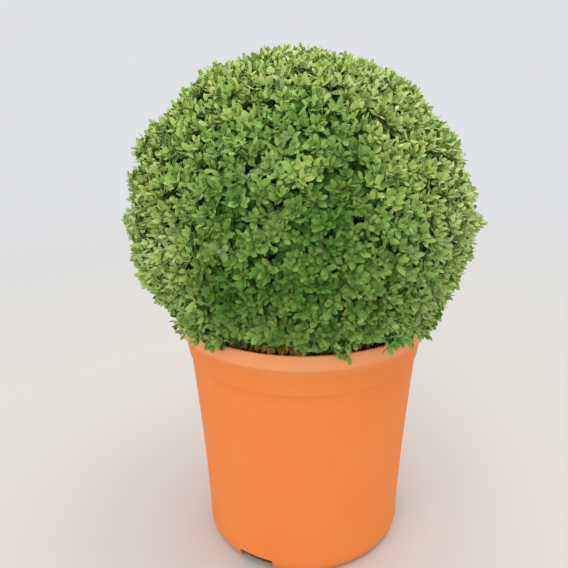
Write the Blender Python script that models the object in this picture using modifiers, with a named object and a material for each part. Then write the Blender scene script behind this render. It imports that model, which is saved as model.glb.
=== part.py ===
"""A holly shrub clipped to a ball, in a round plastic nursery pot.

Metres, +Z up. The origin is the middle of the pot's flat underside.
The pot, the root ball, the trunk, five boughs and the ball of foliage are separate solids.
"""

import math
import random

import bmesh
import bpy
from mathutils import Matrix, Vector
from mathutils.bvhtree import BVHTree

# Clearance kept between neighbouring solids.
GAP = 0.0003

# Distance within which a limb's caps are welded to its sides.
LIMB_WELD = 0.00001

# Edges sharper than this many degrees stay sharp in the shading.
SHARP_ANGLE = 35.0

# Pot, radii outside.
TURN_STEPS = 48
TURN_MERGE = 0.00005
POT_HEIGHT = 0.300
POT_WALL = 0.0028
RIM_RADIUS = 0.150
COLLAR_HEIGHT = 0.018
COLLAR_FOOT_RADIUS = 0.1492
SHOULDER_HEIGHT = 0.034
SHOULDER_TOP_RADIUS = 0.1425
SHOULDER_FOOT_RADIUS = 0.1376
BODY_TOP_RADIUS = 0.1354
BODY_FOOT_RADIUS = 0.1225
BODY_CURVE = 1.5
BODY_STATIONS = 4
STEP_DROP = 0.0025
BASE_ROUNDING = 0.014
ARC_STEPS = 3
RIM_STEPS = 4

# Drainage slots through the rounded bottom edge. Azimuth 0 is the front, which is -Y.
SLOT_COUNT = 3
SLOT_FIRST_AZIMUTH = -28.0
SLOT_WIDTH = 0.045
SLOT_HEIGHT = 0.016
SLOT_DEPTH = 0.030
SLOT_CORNER = 0.003
SLOT_CORNER_SEGMENTS = 2

# Root ball, inside the pot.
SOIL_HEIGHT = 0.270
SOIL_SINK = 0.004
SOIL_FLAT_RADIUS = 0.045

# Ball of foliage.
BALL_CENTRE = Vector((-0.002, 0.0, 0.395))
BALL_RADIUS = 0.193
BALL_REACH = 0.199
RIM_CLEAR_HEIGHT = 0.303
RIM_CLEAR_RADIUS = 0.1535
MOUTH_RADIUS = 0.138
MOUTH_FLOOR = 0.286
CORE_SHARE = 0.90
CORE_UNDERSIDE_SHARE = 0.97
CORE_SEGMENTS = 24
CORE_RINGS = 14
CORE_ROUGHNESS = 0.02

# Hollow in the ball's underside, where the bare limbs stand.
HOLLOW_HEIGHT = 0.308
HOLLOW_RADIUS = 0.082
HOLLOW_RISE = 0.075
HOLLOW_SEGMENTS = 24

# Trunk: height over its foot, and radius.
TRUNK_TIP_HEIGHT = 0.372
TRUNK_LEAN = Vector((0.005, -0.003))
TRUNK_FOOT_RADIUS = 0.0145
TRUNK_TIP_RADIUS = 0.0080
TRUNK_STATIONS = 12
TRUNK_STATION_POWER = 1.3
TRUNK_SIDES = 12
FLARE_RISE = 0.011
FLARE_SPREAD = 0.45
FLARE_LOBES = 5
FLARE_LOBE_DEPTH = 0.22

# Boughs.
BOUGH_COUNT = 5
BOUGH_FIRST_AZIMUTH = 20.0
BOUGH_AZIMUTH_SWAY = 7.0
BOUGH_SWAY_RATE = 3.0
BOUGH_FIRST_HEIGHT = 0.301
BOUGH_RISE_BETWEEN = 0.008
BOUGH_ELEVATION = 24.0
BOUGH_CURVE_UP = 0.018
BOUGH_LENGTH = 0.120
BOUGH_ROOT_RADIUS = 0.0068
BOUGH_TIP_RADIUS = 0.0044
BOUGH_STATIONS = 7
BOUGH_SIDES = 8

# Growth inside the ball: how many ends each order of twig has, and how far out they lie.
GROWTH_SEED = 7
TWIG_ORDERS = (
    {"count": 14, "shares": (0.38, 0.42), "root_radius": 0.0052, "tip_radius": 0.0040},
    {"count": 46, "shares": (0.61, 0.66), "root_radius": 0.0042, "tip_radius": 0.0032},
    {"count": 195, "shares": (0.87, 0.95), "root_radius": 0.0032, "tip_radius": 0.0020},
)
SPREAD_JITTER = 0.10
TWIG_STOPS = 4
TWIG_SIDES = 3
TWIG_CLEARANCE = 0.004
LEAF_CLEARANCE = 0.002
STEM_RADIUS = 0.0075
STEM_RISE = 0.005
STEM_SIDES = 6

# Leaves, larger than life because there are fewer of them.
LEAVES_A_TWIG = 3
LEAF_LENGTH = 0.036
LEAF_WIDTH = 0.022
LEAF_THICKNESS = 0.0011
LEAF_FOLD = 0.22
LEAF_DROOP = 0.10
LEAF_WIDEST = 0.56
# Half outline from the blunt tip to the root: place along the leaf, and share of its width.
LEAF_OUTLINE = ((1.0, 0.34), (0.56, 1.0), (0.0, 0.0))
LEAF_SIDES = 5
LEAF_STEP = 2.0 * math.pi / LEAF_SIDES
LEAF_SPACING = 0.0040
LEAF_SINK = 0.0008
LEAF_TILTS = (56.0, 46.0, 66.0, 76.0, 85.0)
LEAF_TILT_JITTER = 9.0
LEAF_TURN_JITTER = 0.3
LEAF_SIZE_JITTER = 0.12
LEAF_NEAR = 1.3 * LEAF_LENGTH
GOLDEN_ANGLE = math.pi * (3.0 - math.sqrt(5.0))


def linear(hex_colour):
    """Linear RGBA of an sRGB colour written as six hex digits."""
    channels = [int(hex_colour[i : i + 2], 16) / 255 for i in (0, 2, 4)]
    return [c / 12.92 if c <= 0.04045 else ((c + 0.055) / 1.055) ** 2.4 for c in channels] + [1.0]


def material(name, hex_colour, roughness, metallic=0.0):
    """A Principled material of one colour."""
    made = bpy.data.materials.new(name)
    made.use_nodes = True
    shader = made.node_tree.nodes["Principled BSDF"]
    shader.inputs["Base Color"].default_value = linear(hex_colour)
    shader.inputs["Roughness"].default_value = roughness
    shader.inputs["Metallic"].default_value = metallic
    made.diffuse_color = linear(hex_colour)
    return made


def place(mesh, name, collection, finish=None):
    """Put a mesh in a new object of the collection, with its finish."""
    made = bpy.data.objects.new(name, mesh)
    collection.objects.link(made)
    if finish:
        mesh.materials.clear()
        mesh.materials.append(finish)
    return made


def mesh_from(bm, name):
    """Turn a bmesh into a mesh and free it."""
    mesh = bpy.data.meshes.new(name)
    bm.to_mesh(mesh)
    bm.free()
    return mesh


def arc(centre_radius, centre_height, radius, first, last, steps=ARC_STEPS):
    """Points (radius, height) of an arc from one angle to another, in degrees from +X."""
    angles = [math.radians(first + (last - first) * i / steps) for i in range(steps + 1)]
    return [(centre_radius + radius * math.cos(a), centre_height + radius * math.sin(a)) for a in angles]


def turned(name, profile, collection, finish):
    """A solid of revolution about Z. The profile runs down its outer side."""
    bm = bmesh.new()
    corners = [bm.verts.new((radius, 0.0, height)) for radius, height in profile]
    for upper, lower in zip(corners, corners[1:]):
        bm.edges.new((upper, lower))
    made = place(mesh_from(bm, name), name, collection, finish)
    screw = made.modifiers.new("Turn", "SCREW")
    screw.axis = "Z"
    screw.steps = TURN_STEPS
    screw.render_steps = TURN_STEPS
    screw.use_merge_vertices = True
    screw.merge_threshold = TURN_MERGE
    return made


def wall_profile(inset):
    """The pot's side from just under the collar to the underside, set in by a distance."""
    foot = POT_HEIGHT - COLLAR_HEIGHT - SHOULDER_HEIGHT
    points = [(SHOULDER_FOOT_RADIUS - inset, foot)]
    top = foot - STEP_DROP
    spread = BODY_TOP_RADIUS - BODY_FOOT_RADIUS
    shares = [1.0 - i / BODY_STATIONS for i in range(BODY_STATIONS)]
    # One ring lies just above the slots, so that the faces that they cut are short.
    shares.append((SLOT_HEIGHT + SLOT_CORNER - BASE_ROUNDING) / (top - BASE_ROUNDING))
    for share in shares:
        height = BASE_ROUNDING + (top - BASE_ROUNDING) * share
        points.append((BODY_FOOT_RADIUS + spread * share**BODY_CURVE - inset, height))
    edge_radius = BODY_FOOT_RADIUS - BASE_ROUNDING
    return points + arc(edge_radius, BASE_ROUNDING, BASE_ROUNDING - inset, 0.0, -90.0)


def build_pot(parts, cutters, finish):
    """The pot: a thin shell with a collar, a shoulder, a tapering body and a flat underside."""
    collar_foot = POT_HEIGHT - COLLAR_HEIGHT
    half_wall = POT_WALL / 2
    inner = [(0.0, POT_WALL)] + wall_profile(POT_WALL)[::-1]
    inner += [
        (SHOULDER_TOP_RADIUS - POT_WALL, collar_foot),
        (COLLAR_FOOT_RADIUS - POT_WALL, collar_foot + POT_WALL),
    ]
    rim = arc(RIM_RADIUS - half_wall, POT_HEIGHT - half_wall, half_wall, 180.0, 0.0, RIM_STEPS)
    outer = [
        (COLLAR_FOOT_RADIUS, collar_foot + half_wall / 2),
        (COLLAR_FOOT_RADIUS - half_wall / 2, collar_foot),
        (SHOULDER_TOP_RADIUS + half_wall / 2, collar_foot),
        (SHOULDER_TOP_RADIUS, collar_foot - half_wall),
    ]
    outer += wall_profile(0.0)
    pot = turned("pot", inner + rim + outer + [(0.0, 0.0)], parts, finish)
    for i in range(SLOT_COUNT):
        azimuth = math.radians(SLOT_FIRST_AZIMUTH + 360.0 * i / SLOT_COUNT)
        cutter = slot_cutter(f"drain_slot_cutter_{i + 1}", azimuth, cutters)
        cut = pot.modifiers.new(f"Drain slot {i + 1}", "BOOLEAN")
        cut.operation = "DIFFERENCE"
        cut.solver = "EXACT"
        cut.object = cutter
    return pot


def slot_cutter(name, azimuth, cutters):
    """A block with rounded corners that cuts one drainage slot through the bottom edge."""
    bm = bmesh.new()
    bmesh.ops.create_cube(bm, size=1.0)
    bmesh.ops.scale(bm, verts=bm.verts, vec=(SLOT_WIDTH, SLOT_DEPTH, 2 * SLOT_HEIGHT))
    upright = [e for e in bm.edges if abs(e.verts[0].co.y - e.verts[1].co.y) > SLOT_DEPTH / 2]
    bmesh.ops.bevel(bm, geom=upright, offset=SLOT_CORNER, segments=SLOT_CORNER_SEGMENTS, affect="EDGES")
    cutter = place(mesh_from(bm, name), name, cutters)
    cutter.location = (BODY_FOOT_RADIUS * math.sin(azimuth), -BODY_FOOT_RADIUS * math.cos(azimuth), 0.0)
    cutter.rotation_euler.z = azimuth
    hide_cutter(cutter)
    return cutter


def hide_cutter(cutter):
    """Show a cutter as wire only, and keep it out of renders."""
    cutter.display_type = "WIRE"
    cutter.hide_render = True


def build_root_ball(parts, finish):
    """The compost, which fills the pot to just under the collar."""
    side = wall_profile(POT_WALL + GAP)
    foot = POT_HEIGHT - COLLAR_HEIGHT - SHOULDER_HEIGHT
    share = (SOIL_HEIGHT - SOIL_SINK - foot) / SHOULDER_HEIGHT
    edge = SHOULDER_FOOT_RADIUS + (SHOULDER_TOP_RADIUS - SHOULDER_FOOT_RADIUS) * share - POT_WALL - 2 * GAP
    surface = [
        (0.0, SOIL_HEIGHT),
        (SOIL_FLAT_RADIUS, SOIL_HEIGHT),
        (edge, SOIL_HEIGHT - SOIL_SINK),
    ]
    return turned("root_ball", surface + side + [(0.0, POT_WALL + GAP)], parts, finish)


def limb_mesh(name, points, radii, sides):
    """A closed tapering limb through the points: a curve with a bevel, made a mesh."""
    curve = bpy.data.curves.new(name, "CURVE")
    curve.dimensions = "3D"
    curve.bevel_depth = 1.0
    curve.bevel_resolution = (sides - 4) // 2
    curve.use_fill_caps = True
    spline = curve.splines.new("POLY")
    spline.points.add(len(points) - 1)
    for control, point, radius in zip(spline.points, points, radii):
        control.co = (*point, 1.0)
        control.radius = radius
    guide = bpy.data.objects.new(name, curve)
    bpy.context.scene.collection.objects.link(guide)
    bpy.context.view_layer.update()
    evaluated = guide.evaluated_get(bpy.context.evaluated_depsgraph_get())
    mesh = bpy.data.meshes.new_from_object(evaluated)
    mesh.transform(guide.matrix_world)
    bpy.data.objects.remove(guide)
    bpy.data.curves.remove(curve)
    bm = bmesh.new()
    bm.from_mesh(mesh)
    bmesh.ops.remove_doubles(bm, verts=bm.verts, dist=LIMB_WELD)
    bmesh.ops.recalc_face_normals(bm, faces=bm.faces)
    bm.to_mesh(mesh)
    bm.free()
    return mesh


def trunk_axis(height):
    """The middle of the trunk at a height: upright at its foot and tip, leaning between them."""
    share = (height - SOIL_HEIGHT) / (TRUNK_TIP_HEIGHT - SOIL_HEIGHT)
    lean = TRUNK_LEAN * (3.0 * share**2 - 2.0 * share**3)
    return Vector((lean.x, lean.y, height))


def trunk_mesh(name, swell):
    """The trunk with its root flare, its sides moved out by a distance."""
    foot = SOIL_HEIGHT + GAP
    shares = [(i / TRUNK_STATIONS) ** TRUNK_STATION_POWER for i in range(TRUNK_STATIONS + 1)]
    heights = [foot + (TRUNK_TIP_HEIGHT - foot) * share for share in shares]
    radii = []
    for share, height in zip(shares, heights):
        flare = 1.0 + FLARE_SPREAD * math.exp(-(height - foot) / FLARE_RISE)
        radius = TRUNK_FOOT_RADIUS + (TRUNK_TIP_RADIUS - TRUNK_FOOT_RADIUS) * share
        radii.append(radius * flare + swell)
    mesh = limb_mesh(name, [trunk_axis(h) for h in heights], radii, TRUNK_SIDES)
    for vertex in mesh.vertices:
        centre = trunk_axis(vertex.co.z)
        out = Vector((vertex.co.x - centre.x, vertex.co.y - centre.y))
        lobe = math.cos(FLARE_LOBES * math.atan2(out.y, out.x))
        fade = math.exp(-(vertex.co.z - foot) / FLARE_RISE)
        out *= 1.0 + FLARE_LOBE_DEPTH * lobe * fade
        vertex.co.x = centre.x + out.x
        vertex.co.y = centre.y + out.y
        vertex.co.z = min(vertex.co.z, TRUNK_TIP_HEIGHT)
    return mesh


def ellipsoid(name, inset, cutters):
    """The hollow under the ball as a squashed sphere, its wall moved in by a distance."""
    bm = bmesh.new()
    bmesh.ops.create_uvsphere(bm, u_segments=HOLLOW_SEGMENTS, v_segments=HOLLOW_SEGMENTS // 2, radius=1.0)
    size = (HOLLOW_RADIUS - inset, HOLLOW_RADIUS - inset, HOLLOW_RISE - inset)
    bmesh.ops.scale(bm, verts=bm.verts, vec=size)
    bmesh.ops.translate(bm, verts=bm.verts, vec=(0.0, 0.0, HOLLOW_HEIGHT))
    made = place(mesh_from(bm, name), name, cutters)
    hide_cutter(made)
    return made


def build_boughs(parts, cutters, finish):
    """Five boughs that leave the trunk in turn and end at the wall of the hollow."""
    trunk_cutter = place(trunk_mesh("trunk_clearance", GAP), "trunk_clearance", cutters)
    hide_cutter(trunk_cutter)
    hollow_cutter = ellipsoid("hollow_clearance", GAP, cutters)
    rise = math.tan(math.radians(BOUGH_ELEVATION))
    for i in range(BOUGH_COUNT):
        place_in_ring = 2 * i % BOUGH_COUNT
        sway = BOUGH_AZIMUTH_SWAY * math.sin(BOUGH_SWAY_RATE * i)
        azimuth = math.radians(BOUGH_FIRST_AZIMUTH + 360.0 * place_in_ring / BOUGH_COUNT + sway)
        outward = Vector((math.cos(azimuth), math.sin(azimuth), 0.0))
        start = trunk_axis(BOUGH_FIRST_HEIGHT + BOUGH_RISE_BETWEEN * i)
        points = []
        for station in range(BOUGH_STATIONS + 1):
            share = station / BOUGH_STATIONS
            lift = BOUGH_LENGTH * rise * share + BOUGH_CURVE_UP * share**2
            points.append(start + outward * (BOUGH_LENGTH * share) + Vector((0.0, 0.0, lift)))
        spread = BOUGH_TIP_RADIUS - BOUGH_ROOT_RADIUS
        radii = [BOUGH_ROOT_RADIUS + spread * s / BOUGH_STATIONS for s in range(BOUGH_STATIONS + 1)]
        name = f"bough_{i + 1}"
        bough = place(limb_mesh(name, points, radii, BOUGH_SIDES), name, parts, finish)
        for cutter, operation in ((trunk_cutter, "DIFFERENCE"), (hollow_cutter, "INTERSECT")):
            cut = bough.modifiers.new(f"Clear of {cutter.name}", "BOOLEAN")
            cut.operation = operation
            # The exact solver leaves some of these limbs uncut.
            cut.solver = "MANIFOLD"
            cut.object = cutter


def crown_reach(direction):
    """How far the foliage may reach from the ball's centre along a unit direction."""
    if direction.z >= 0.0:
        return BALL_RADIUS
    flat = math.hypot(direction.x, direction.y)
    reach = (BALL_CENTRE.z - RIM_CLEAR_HEIGHT) / -direction.z
    if reach * flat > RIM_CLEAR_RADIUS:
        return BALL_RADIUS
    if reach * flat < MOUTH_RADIUS:
        reach = (BALL_CENTRE.z - MOUTH_FLOOR) / -direction.z
        reach = min(reach, MOUTH_RADIUS / max(flat, GAP))
    return min(BALL_RADIUS, reach)


def in_hollow(point, margin):
    """Whether a point lies in or below the hollow under the ball, or within a margin of it."""
    rise = max(0.0, point.z - HOLLOW_HEIGHT) / (HOLLOW_RISE + margin)
    flat = math.hypot(point.x, point.y) / (HOLLOW_RADIUS + margin)
    return rise * rise + flat * flat < 1.0


def in_crown(point, overshoot):
    """Whether a point is in the foliage's own space."""
    offset = point - BALL_CENTRE
    allowed = crown_reach(offset.normalized())
    if allowed >= BALL_RADIUS:
        allowed += overshoot
    return offset.length <= allowed and not in_hollow(point, LEAF_CLEARANCE)


def spread_directions(count, dice):
    """Unit directions spread evenly over a sphere by the golden angle, each a little astray."""
    directions = []
    for i in range(count):
        height = 1.0 - 2.0 * (i + 0.5) / count
        flat = math.sqrt(1.0 - height * height)
        turn = GOLDEN_ANGLE * i
        direction = Vector((flat * math.cos(turn), flat * math.sin(turn), height))
        direction += Vector((dice.uniform(-1, 1), dice.uniform(-1, 1), dice.uniform(-1, 1))) * SPREAD_JITTER
        directions.append(direction.normalized())
    return directions


def grow_twigs(dice):
    """Twigs as (order, root, tip). Each springs from the nearest end of the order before it."""
    ends = [BALL_CENTRE.copy()]
    twigs = []
    for order, size in enumerate(TWIG_ORDERS):
        next_ends = []
        for direction in spread_directions(size["count"], dice):
            tip = BALL_CENTRE + direction * crown_reach(direction) * dice.uniform(*size["shares"])
            root = min(ends, key=lambda end: (end - tip).length)
            way = [root.lerp(tip, stop / TWIG_STOPS) for stop in range(1, TWIG_STOPS + 1)]
            if any(in_hollow(point, TWIG_CLEARANCE) for point in way):
                continue
            twigs.append((order, root, tip))
            next_ends.append(tip)
        ends = next_ends
    return twigs


def twig_object(name, root, tip, root_radius, tip_radius, collection):
    """A three-sided twig that tapers from its root to its tip."""
    bm = bmesh.new()
    bmesh.ops.create_cone(
        bm,
        cap_ends=True,
        cap_tris=True,
        segments=TWIG_SIDES,
        radius1=root_radius,
        radius2=tip_radius,
        depth=(tip - root).length,
    )
    turn = (tip - root).to_track_quat("Z", "Y").to_matrix().to_4x4()
    bm.transform(Matrix.Translation(root.lerp(tip, 0.5)) @ turn)
    return place(mesh_from(bm, name), name, collection)


def leaf_point(angle, length, width):
    """A point on the edge of an egg-shaped, folded leaf along +X, by its angle round the blade."""
    along, share = LEAF_OUTLINE[round(abs(angle) / LEAF_STEP - 0.5)]
    half = math.copysign(width * share / 2.0, angle)
    return Vector((along * length, half, abs(half) * LEAF_FOLD - LEAF_DROOP * along * along * length))


def leaf_object(name, root, direction, normal, scale, neighbours, collection):
    """A leaf: a flat five-sided sphere drawn out to a folded, egg-shaped blade.

    None is made where it would leave the crown or cross a leaf that is already there.
    """
    length = LEAF_LENGTH * scale
    bm = bmesh.new()
    bmesh.ops.create_uvsphere(bm, u_segments=LEAF_SIDES, v_segments=2, radius=1.0)
    bmesh.ops.rotate(bm, verts=bm.verts, matrix=Matrix.Rotation(math.pi / 2.0, 3, "Z"))
    for vertex in bm.verts:
        if abs(vertex.co.z) > 0.5:
            half_thickness = math.copysign(LEAF_THICKNESS / 2, vertex.co.z)
            sag = LEAF_DROOP * LEAF_WIDEST * LEAF_WIDEST * length
            vertex.co = Vector((LEAF_WIDEST * length, 0.0, half_thickness - sag))
        else:
            vertex.co = leaf_point(math.atan2(vertex.co.y, vertex.co.x), length, LEAF_WIDTH * scale)
    across = normal.cross(direction).normalized()
    up = direction.cross(across)
    axes = Matrix((direction, across, up)).transposed().to_4x4()
    start = root - direction * LEAF_SINK
    bm.transform(Matrix.Translation(start) @ axes)
    inside = all(in_crown(vertex.co, BALL_REACH - BALL_RADIUS) for vertex in bm.verts)
    middle = start + direction * (length / 2.0)
    blade = BVHTree.FromBMesh(bm)
    near = [other for centre, other in neighbours if (centre - middle).length < LEAF_NEAR]
    if not inside or any(blade.overlap(other) for other in near):
        bm.free()
        return None
    neighbours.append((middle, blade))
    return place(mesh_from(bm, name), name, collection)


def dress_twig(number, root, tip, dice, neighbours, collection):
    """Set the leaves round a twig's end. One with no room is laid at another tilt, or left out."""
    outward = (tip - root).normalized()
    side = outward.orthogonal().normalized()
    turn = dice.uniform(0.0, 2.0 * math.pi)
    for i in range(LEAVES_A_TWIG):
        astray = dice.uniform(-LEAF_TURN_JITTER, LEAF_TURN_JITTER)
        around = Matrix.Rotation(turn + 2.0 * math.pi * i / LEAVES_A_TWIG + astray, 3, outward)
        aside = around @ side
        base = tip - outward * (LEAF_SPACING * (i + 0.5))
        scale = 1.0 + dice.uniform(-LEAF_SIZE_JITTER, LEAF_SIZE_JITTER)
        jitter = dice.uniform(-LEAF_TILT_JITTER, LEAF_TILT_JITTER)
        for tilt in LEAF_TILTS:
            angle = math.radians(tilt + jitter)
            direction = outward * math.cos(angle) + aside * math.sin(angle)
            normal = outward * math.sin(angle) - aside * math.cos(angle)
            if leaf_object(f"leaf_{number}_{i}", base, direction, normal, scale, neighbours, collection):
                break


def core_mesh(name, dice):
    """The dense middle of the ball: the crown's own shape, smaller and a little uneven."""
    bm = bmesh.new()
    bmesh.ops.create_uvsphere(bm, u_segments=CORE_SEGMENTS, v_segments=CORE_RINGS, radius=1.0)
    for vertex in bm.verts:
        direction = vertex.co.normalized()
        reach = crown_reach(direction)
        if reach < BALL_RADIUS:
            share = CORE_UNDERSIDE_SHARE
        else:
            share = CORE_SHARE + dice.uniform(-CORE_ROUGHNESS, CORE_ROUGHNESS)
        vertex.co = BALL_CENTRE + direction * reach * share
    bmesh.ops.triangulate(bm, faces=bm.faces)
    return mesh_from(bm, name)


def keep_largest_body(made):
    """Drop loose scraps and the walls of sealed hollows, and keep the one outer body."""
    bm = bmesh.new()
    bm.from_mesh(made.data)
    bm.faces.ensure_lookup_table()
    seen = set()
    bodies = []
    for seed in bm.faces:
        if seed.index in seen:
            continue
        seen.add(seed.index)
        body = [seed]
        for face in body:
            for edge in face.edges:
                for neighbour in edge.link_faces:
                    if neighbour.index not in seen:
                        seen.add(neighbour.index)
                        body.append(neighbour)
        bodies.append(body)
    bodies.sort(key=len)
    scraps = [face for body in bodies[:-1] for face in body]
    if scraps:
        bmesh.ops.delete(bm, geom=scraps, context="FACES")
    bm.to_mesh(made.data)
    bm.free()


def apply_boolean(made, operation, solver, cutter=None, collection=None):
    """Add a Boolean to an object and apply it."""
    step = made.modifiers.new("Join", "BOOLEAN")
    step.operation = operation
    step.solver = solver
    if collection:
        step.operand_type = "COLLECTION"
        step.collection = collection
    else:
        step.object = cutter
    bpy.context.view_layer.update()
    evaluated = made.evaluated_get(bpy.context.evaluated_depsgraph_get())
    mesh = bpy.data.meshes.new_from_object(evaluated)
    made.modifiers.clear()
    made.data = mesh


def build_foliage(parts, cutters, finish):
    """The ball: a core with twigs and leaves fused on, hollow underneath round the limbs."""
    dice = random.Random(GROWTH_SEED)
    growth = bpy.data.collections.new("growth")
    bpy.context.scene.collection.children.link(growth)
    foliage = place(core_mesh("foliage_ball", dice), "foliage_ball", parts, finish)
    hollow = ellipsoid("hollow", 0.0, cutters)
    apply_boolean(foliage, "DIFFERENCE", "EXACT", cutter=hollow)
    stem_foot = trunk_axis(TRUNK_TIP_HEIGHT) + Vector((0.0, 0.0, GAP))
    stem_way = [stem_foot, stem_foot + Vector((0.0, 0.0, STEM_RISE)), BALL_CENTRE]
    place(limb_mesh("stem", stem_way, [STEM_RADIUS] * len(stem_way), STEM_SIDES), "stem", growth)
    neighbours = []
    for number, (order, root, tip) in enumerate(grow_twigs(dice)):
        size = TWIG_ORDERS[order]
        twig_object(f"twig_{number}", root, tip, size["root_radius"], size["tip_radius"], growth)
        if order == len(TWIG_ORDERS) - 1:
            dress_twig(number, root, tip, dice, neighbours, growth)
    apply_boolean(foliage, "UNION", "EXACT", collection=growth)
    for grown in list(growth.objects):
        bpy.data.objects.remove(grown)
    bpy.data.collections.remove(growth)
    keep_largest_body(foliage)


def main():
    """Build the potted shrub."""
    for existing in list(bpy.data.objects):
        bpy.data.objects.remove(existing)
    parts = bpy.data.collections.new("potted_holly_ball")
    cutters = bpy.data.collections.new("cutters")
    bpy.context.scene.collection.children.link(parts)
    bpy.context.scene.collection.children.link(cutters)
    orange_plastic = material("orange_plastic", "F28845", 0.48)
    compost = material("compost", "3B2A1D", 0.95)
    bark = material("bark", "7A6A58", 0.85)
    leaves = material("leaves", "5C8A3A", 0.5)
    pot = build_pot(parts, cutters, orange_plastic)
    build_root_ball(parts, compost)
    trunk = place(trunk_mesh("trunk", 0.0), "trunk", parts, bark)
    build_boughs(parts, cutters, bark)
    build_foliage(parts, cutters, leaves)
    for rounded in (pot, trunk):
        rounded.data.shade_smooth()
        rounded.data.set_sharp_from_angle(angle=math.radians(SHARP_ANGLE))


main()
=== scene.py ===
"""A holly shrub clipped to a ball, in an orange plastic nursery pot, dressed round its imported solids.

Metres, +Z up. The origin is the middle of the pot's flat underside, and -Y is the front.
"""

import logging
import math
from dataclasses import dataclass
from enum import Enum

import bpy
import numpy as np
from bpy.types import DisplaceModifier, Material, Node, NodeSocket, NodeTree, Object
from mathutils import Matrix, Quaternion, Vector, noise
from numpy import ndarray
from numpy.random import Generator, default_rng


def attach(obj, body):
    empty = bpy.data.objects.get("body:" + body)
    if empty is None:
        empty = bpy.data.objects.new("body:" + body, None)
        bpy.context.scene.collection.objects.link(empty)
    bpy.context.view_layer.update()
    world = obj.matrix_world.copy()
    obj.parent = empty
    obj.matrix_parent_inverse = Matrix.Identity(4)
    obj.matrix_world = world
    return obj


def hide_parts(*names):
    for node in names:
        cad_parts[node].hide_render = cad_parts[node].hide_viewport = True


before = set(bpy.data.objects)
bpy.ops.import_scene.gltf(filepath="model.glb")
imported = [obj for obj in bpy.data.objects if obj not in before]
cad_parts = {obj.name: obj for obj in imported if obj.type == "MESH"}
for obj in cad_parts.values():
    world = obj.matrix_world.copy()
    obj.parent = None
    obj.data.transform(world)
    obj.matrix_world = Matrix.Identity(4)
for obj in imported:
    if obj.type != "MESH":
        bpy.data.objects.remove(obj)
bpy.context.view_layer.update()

LOG = logging.getLogger("holly_ball")
GOLDEN_ANGLE = math.pi * (3.0 - math.sqrt(5.0))
MILLIMETRE = 0.001

# A shorter vector counts as this long, and a slope past this counts as steep.
LEAST_LENGTH = 1e-9
STEEP = 0.8

# Sockets of a Mix node that is set to colour.
MIX_FACTOR = 0
MIX_FIRST = 6
MIX_SECOND = 7
MIX_RESULT = 2

Pair = tuple[float, float]
Point = tuple[float, float, float]
Profile = list[Pair]


def linear(hex_colour: str) -> tuple[float, float, float, float]:
    """Turn an sRGB colour into a linear one.

    Args:
        hex_colour: Six hex digits.

    Returns:
        Linear red, green and blue, and an alpha of 1.
    """
    channels = [int(hex_colour[i : i + 2], 16) / 255 for i in (0, 2, 4)]
    values = [c / 12.92 if c <= 0.04045 else ((c + 0.055) / 1.055) ** 2.4 for c in channels]
    return (values[0], values[1], values[2], 1.0)


def add_node(
    tree: NodeTree,
    kind: str,
    settings: dict[str | int, object] | None = None,
    sources: dict[str | int, Node | NodeSocket] | None = None,
) -> Node:
    """Add a node with its settings and links.

    Args:
        tree: The material's node tree.
        kind: The node's type, without its ShaderNode prefix.
        settings: Values by property name, input name or input number. Properties come first.
            A ramp's stops are its places and hex colours, lowest first.
        sources: Where each input is linked from, by its name or number. A node stands for its
            first output.

    Returns:
        The new node.
    """
    made = tree.nodes.new("ShaderNode" + kind)
    for name, value in (settings or {}).items():
        if name == "stops":
            ends = made.color_ramp.elements
            while len(ends) < len(value):
                ends.new(0.5)
            for end, (place, colour) in zip(ends, value):
                end.position = place
                end.color = linear(colour)
        elif isinstance(name, int) or name in made.inputs:
            made.inputs[name].default_value = value
        else:
            setattr(made, name, value)
    for name, source in (sources or {}).items():
        socket = source.outputs[0] if isinstance(source, Node) else source
        tree.links.new(socket, made.inputs[name])
    return made


class Finish:
    """What a surface is made of. Each kind adds its own nodes, which read Object coordinates."""

    name: str

    def shade(self, tree: NodeTree) -> Node:
        """Add the surface's nodes to a material's tree and give its shader."""
        raise NotImplementedError

    def make(self) -> Material:
        """Make the material.

        Returns:
            The material.
        """
        made = bpy.data.materials.new(self.name)
        made.use_nodes = True
        made.node_tree.nodes.clear()
        add_node(made.node_tree, "OutputMaterial", sources={"Surface": self.shade(made.node_tree)})
        return made


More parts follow.
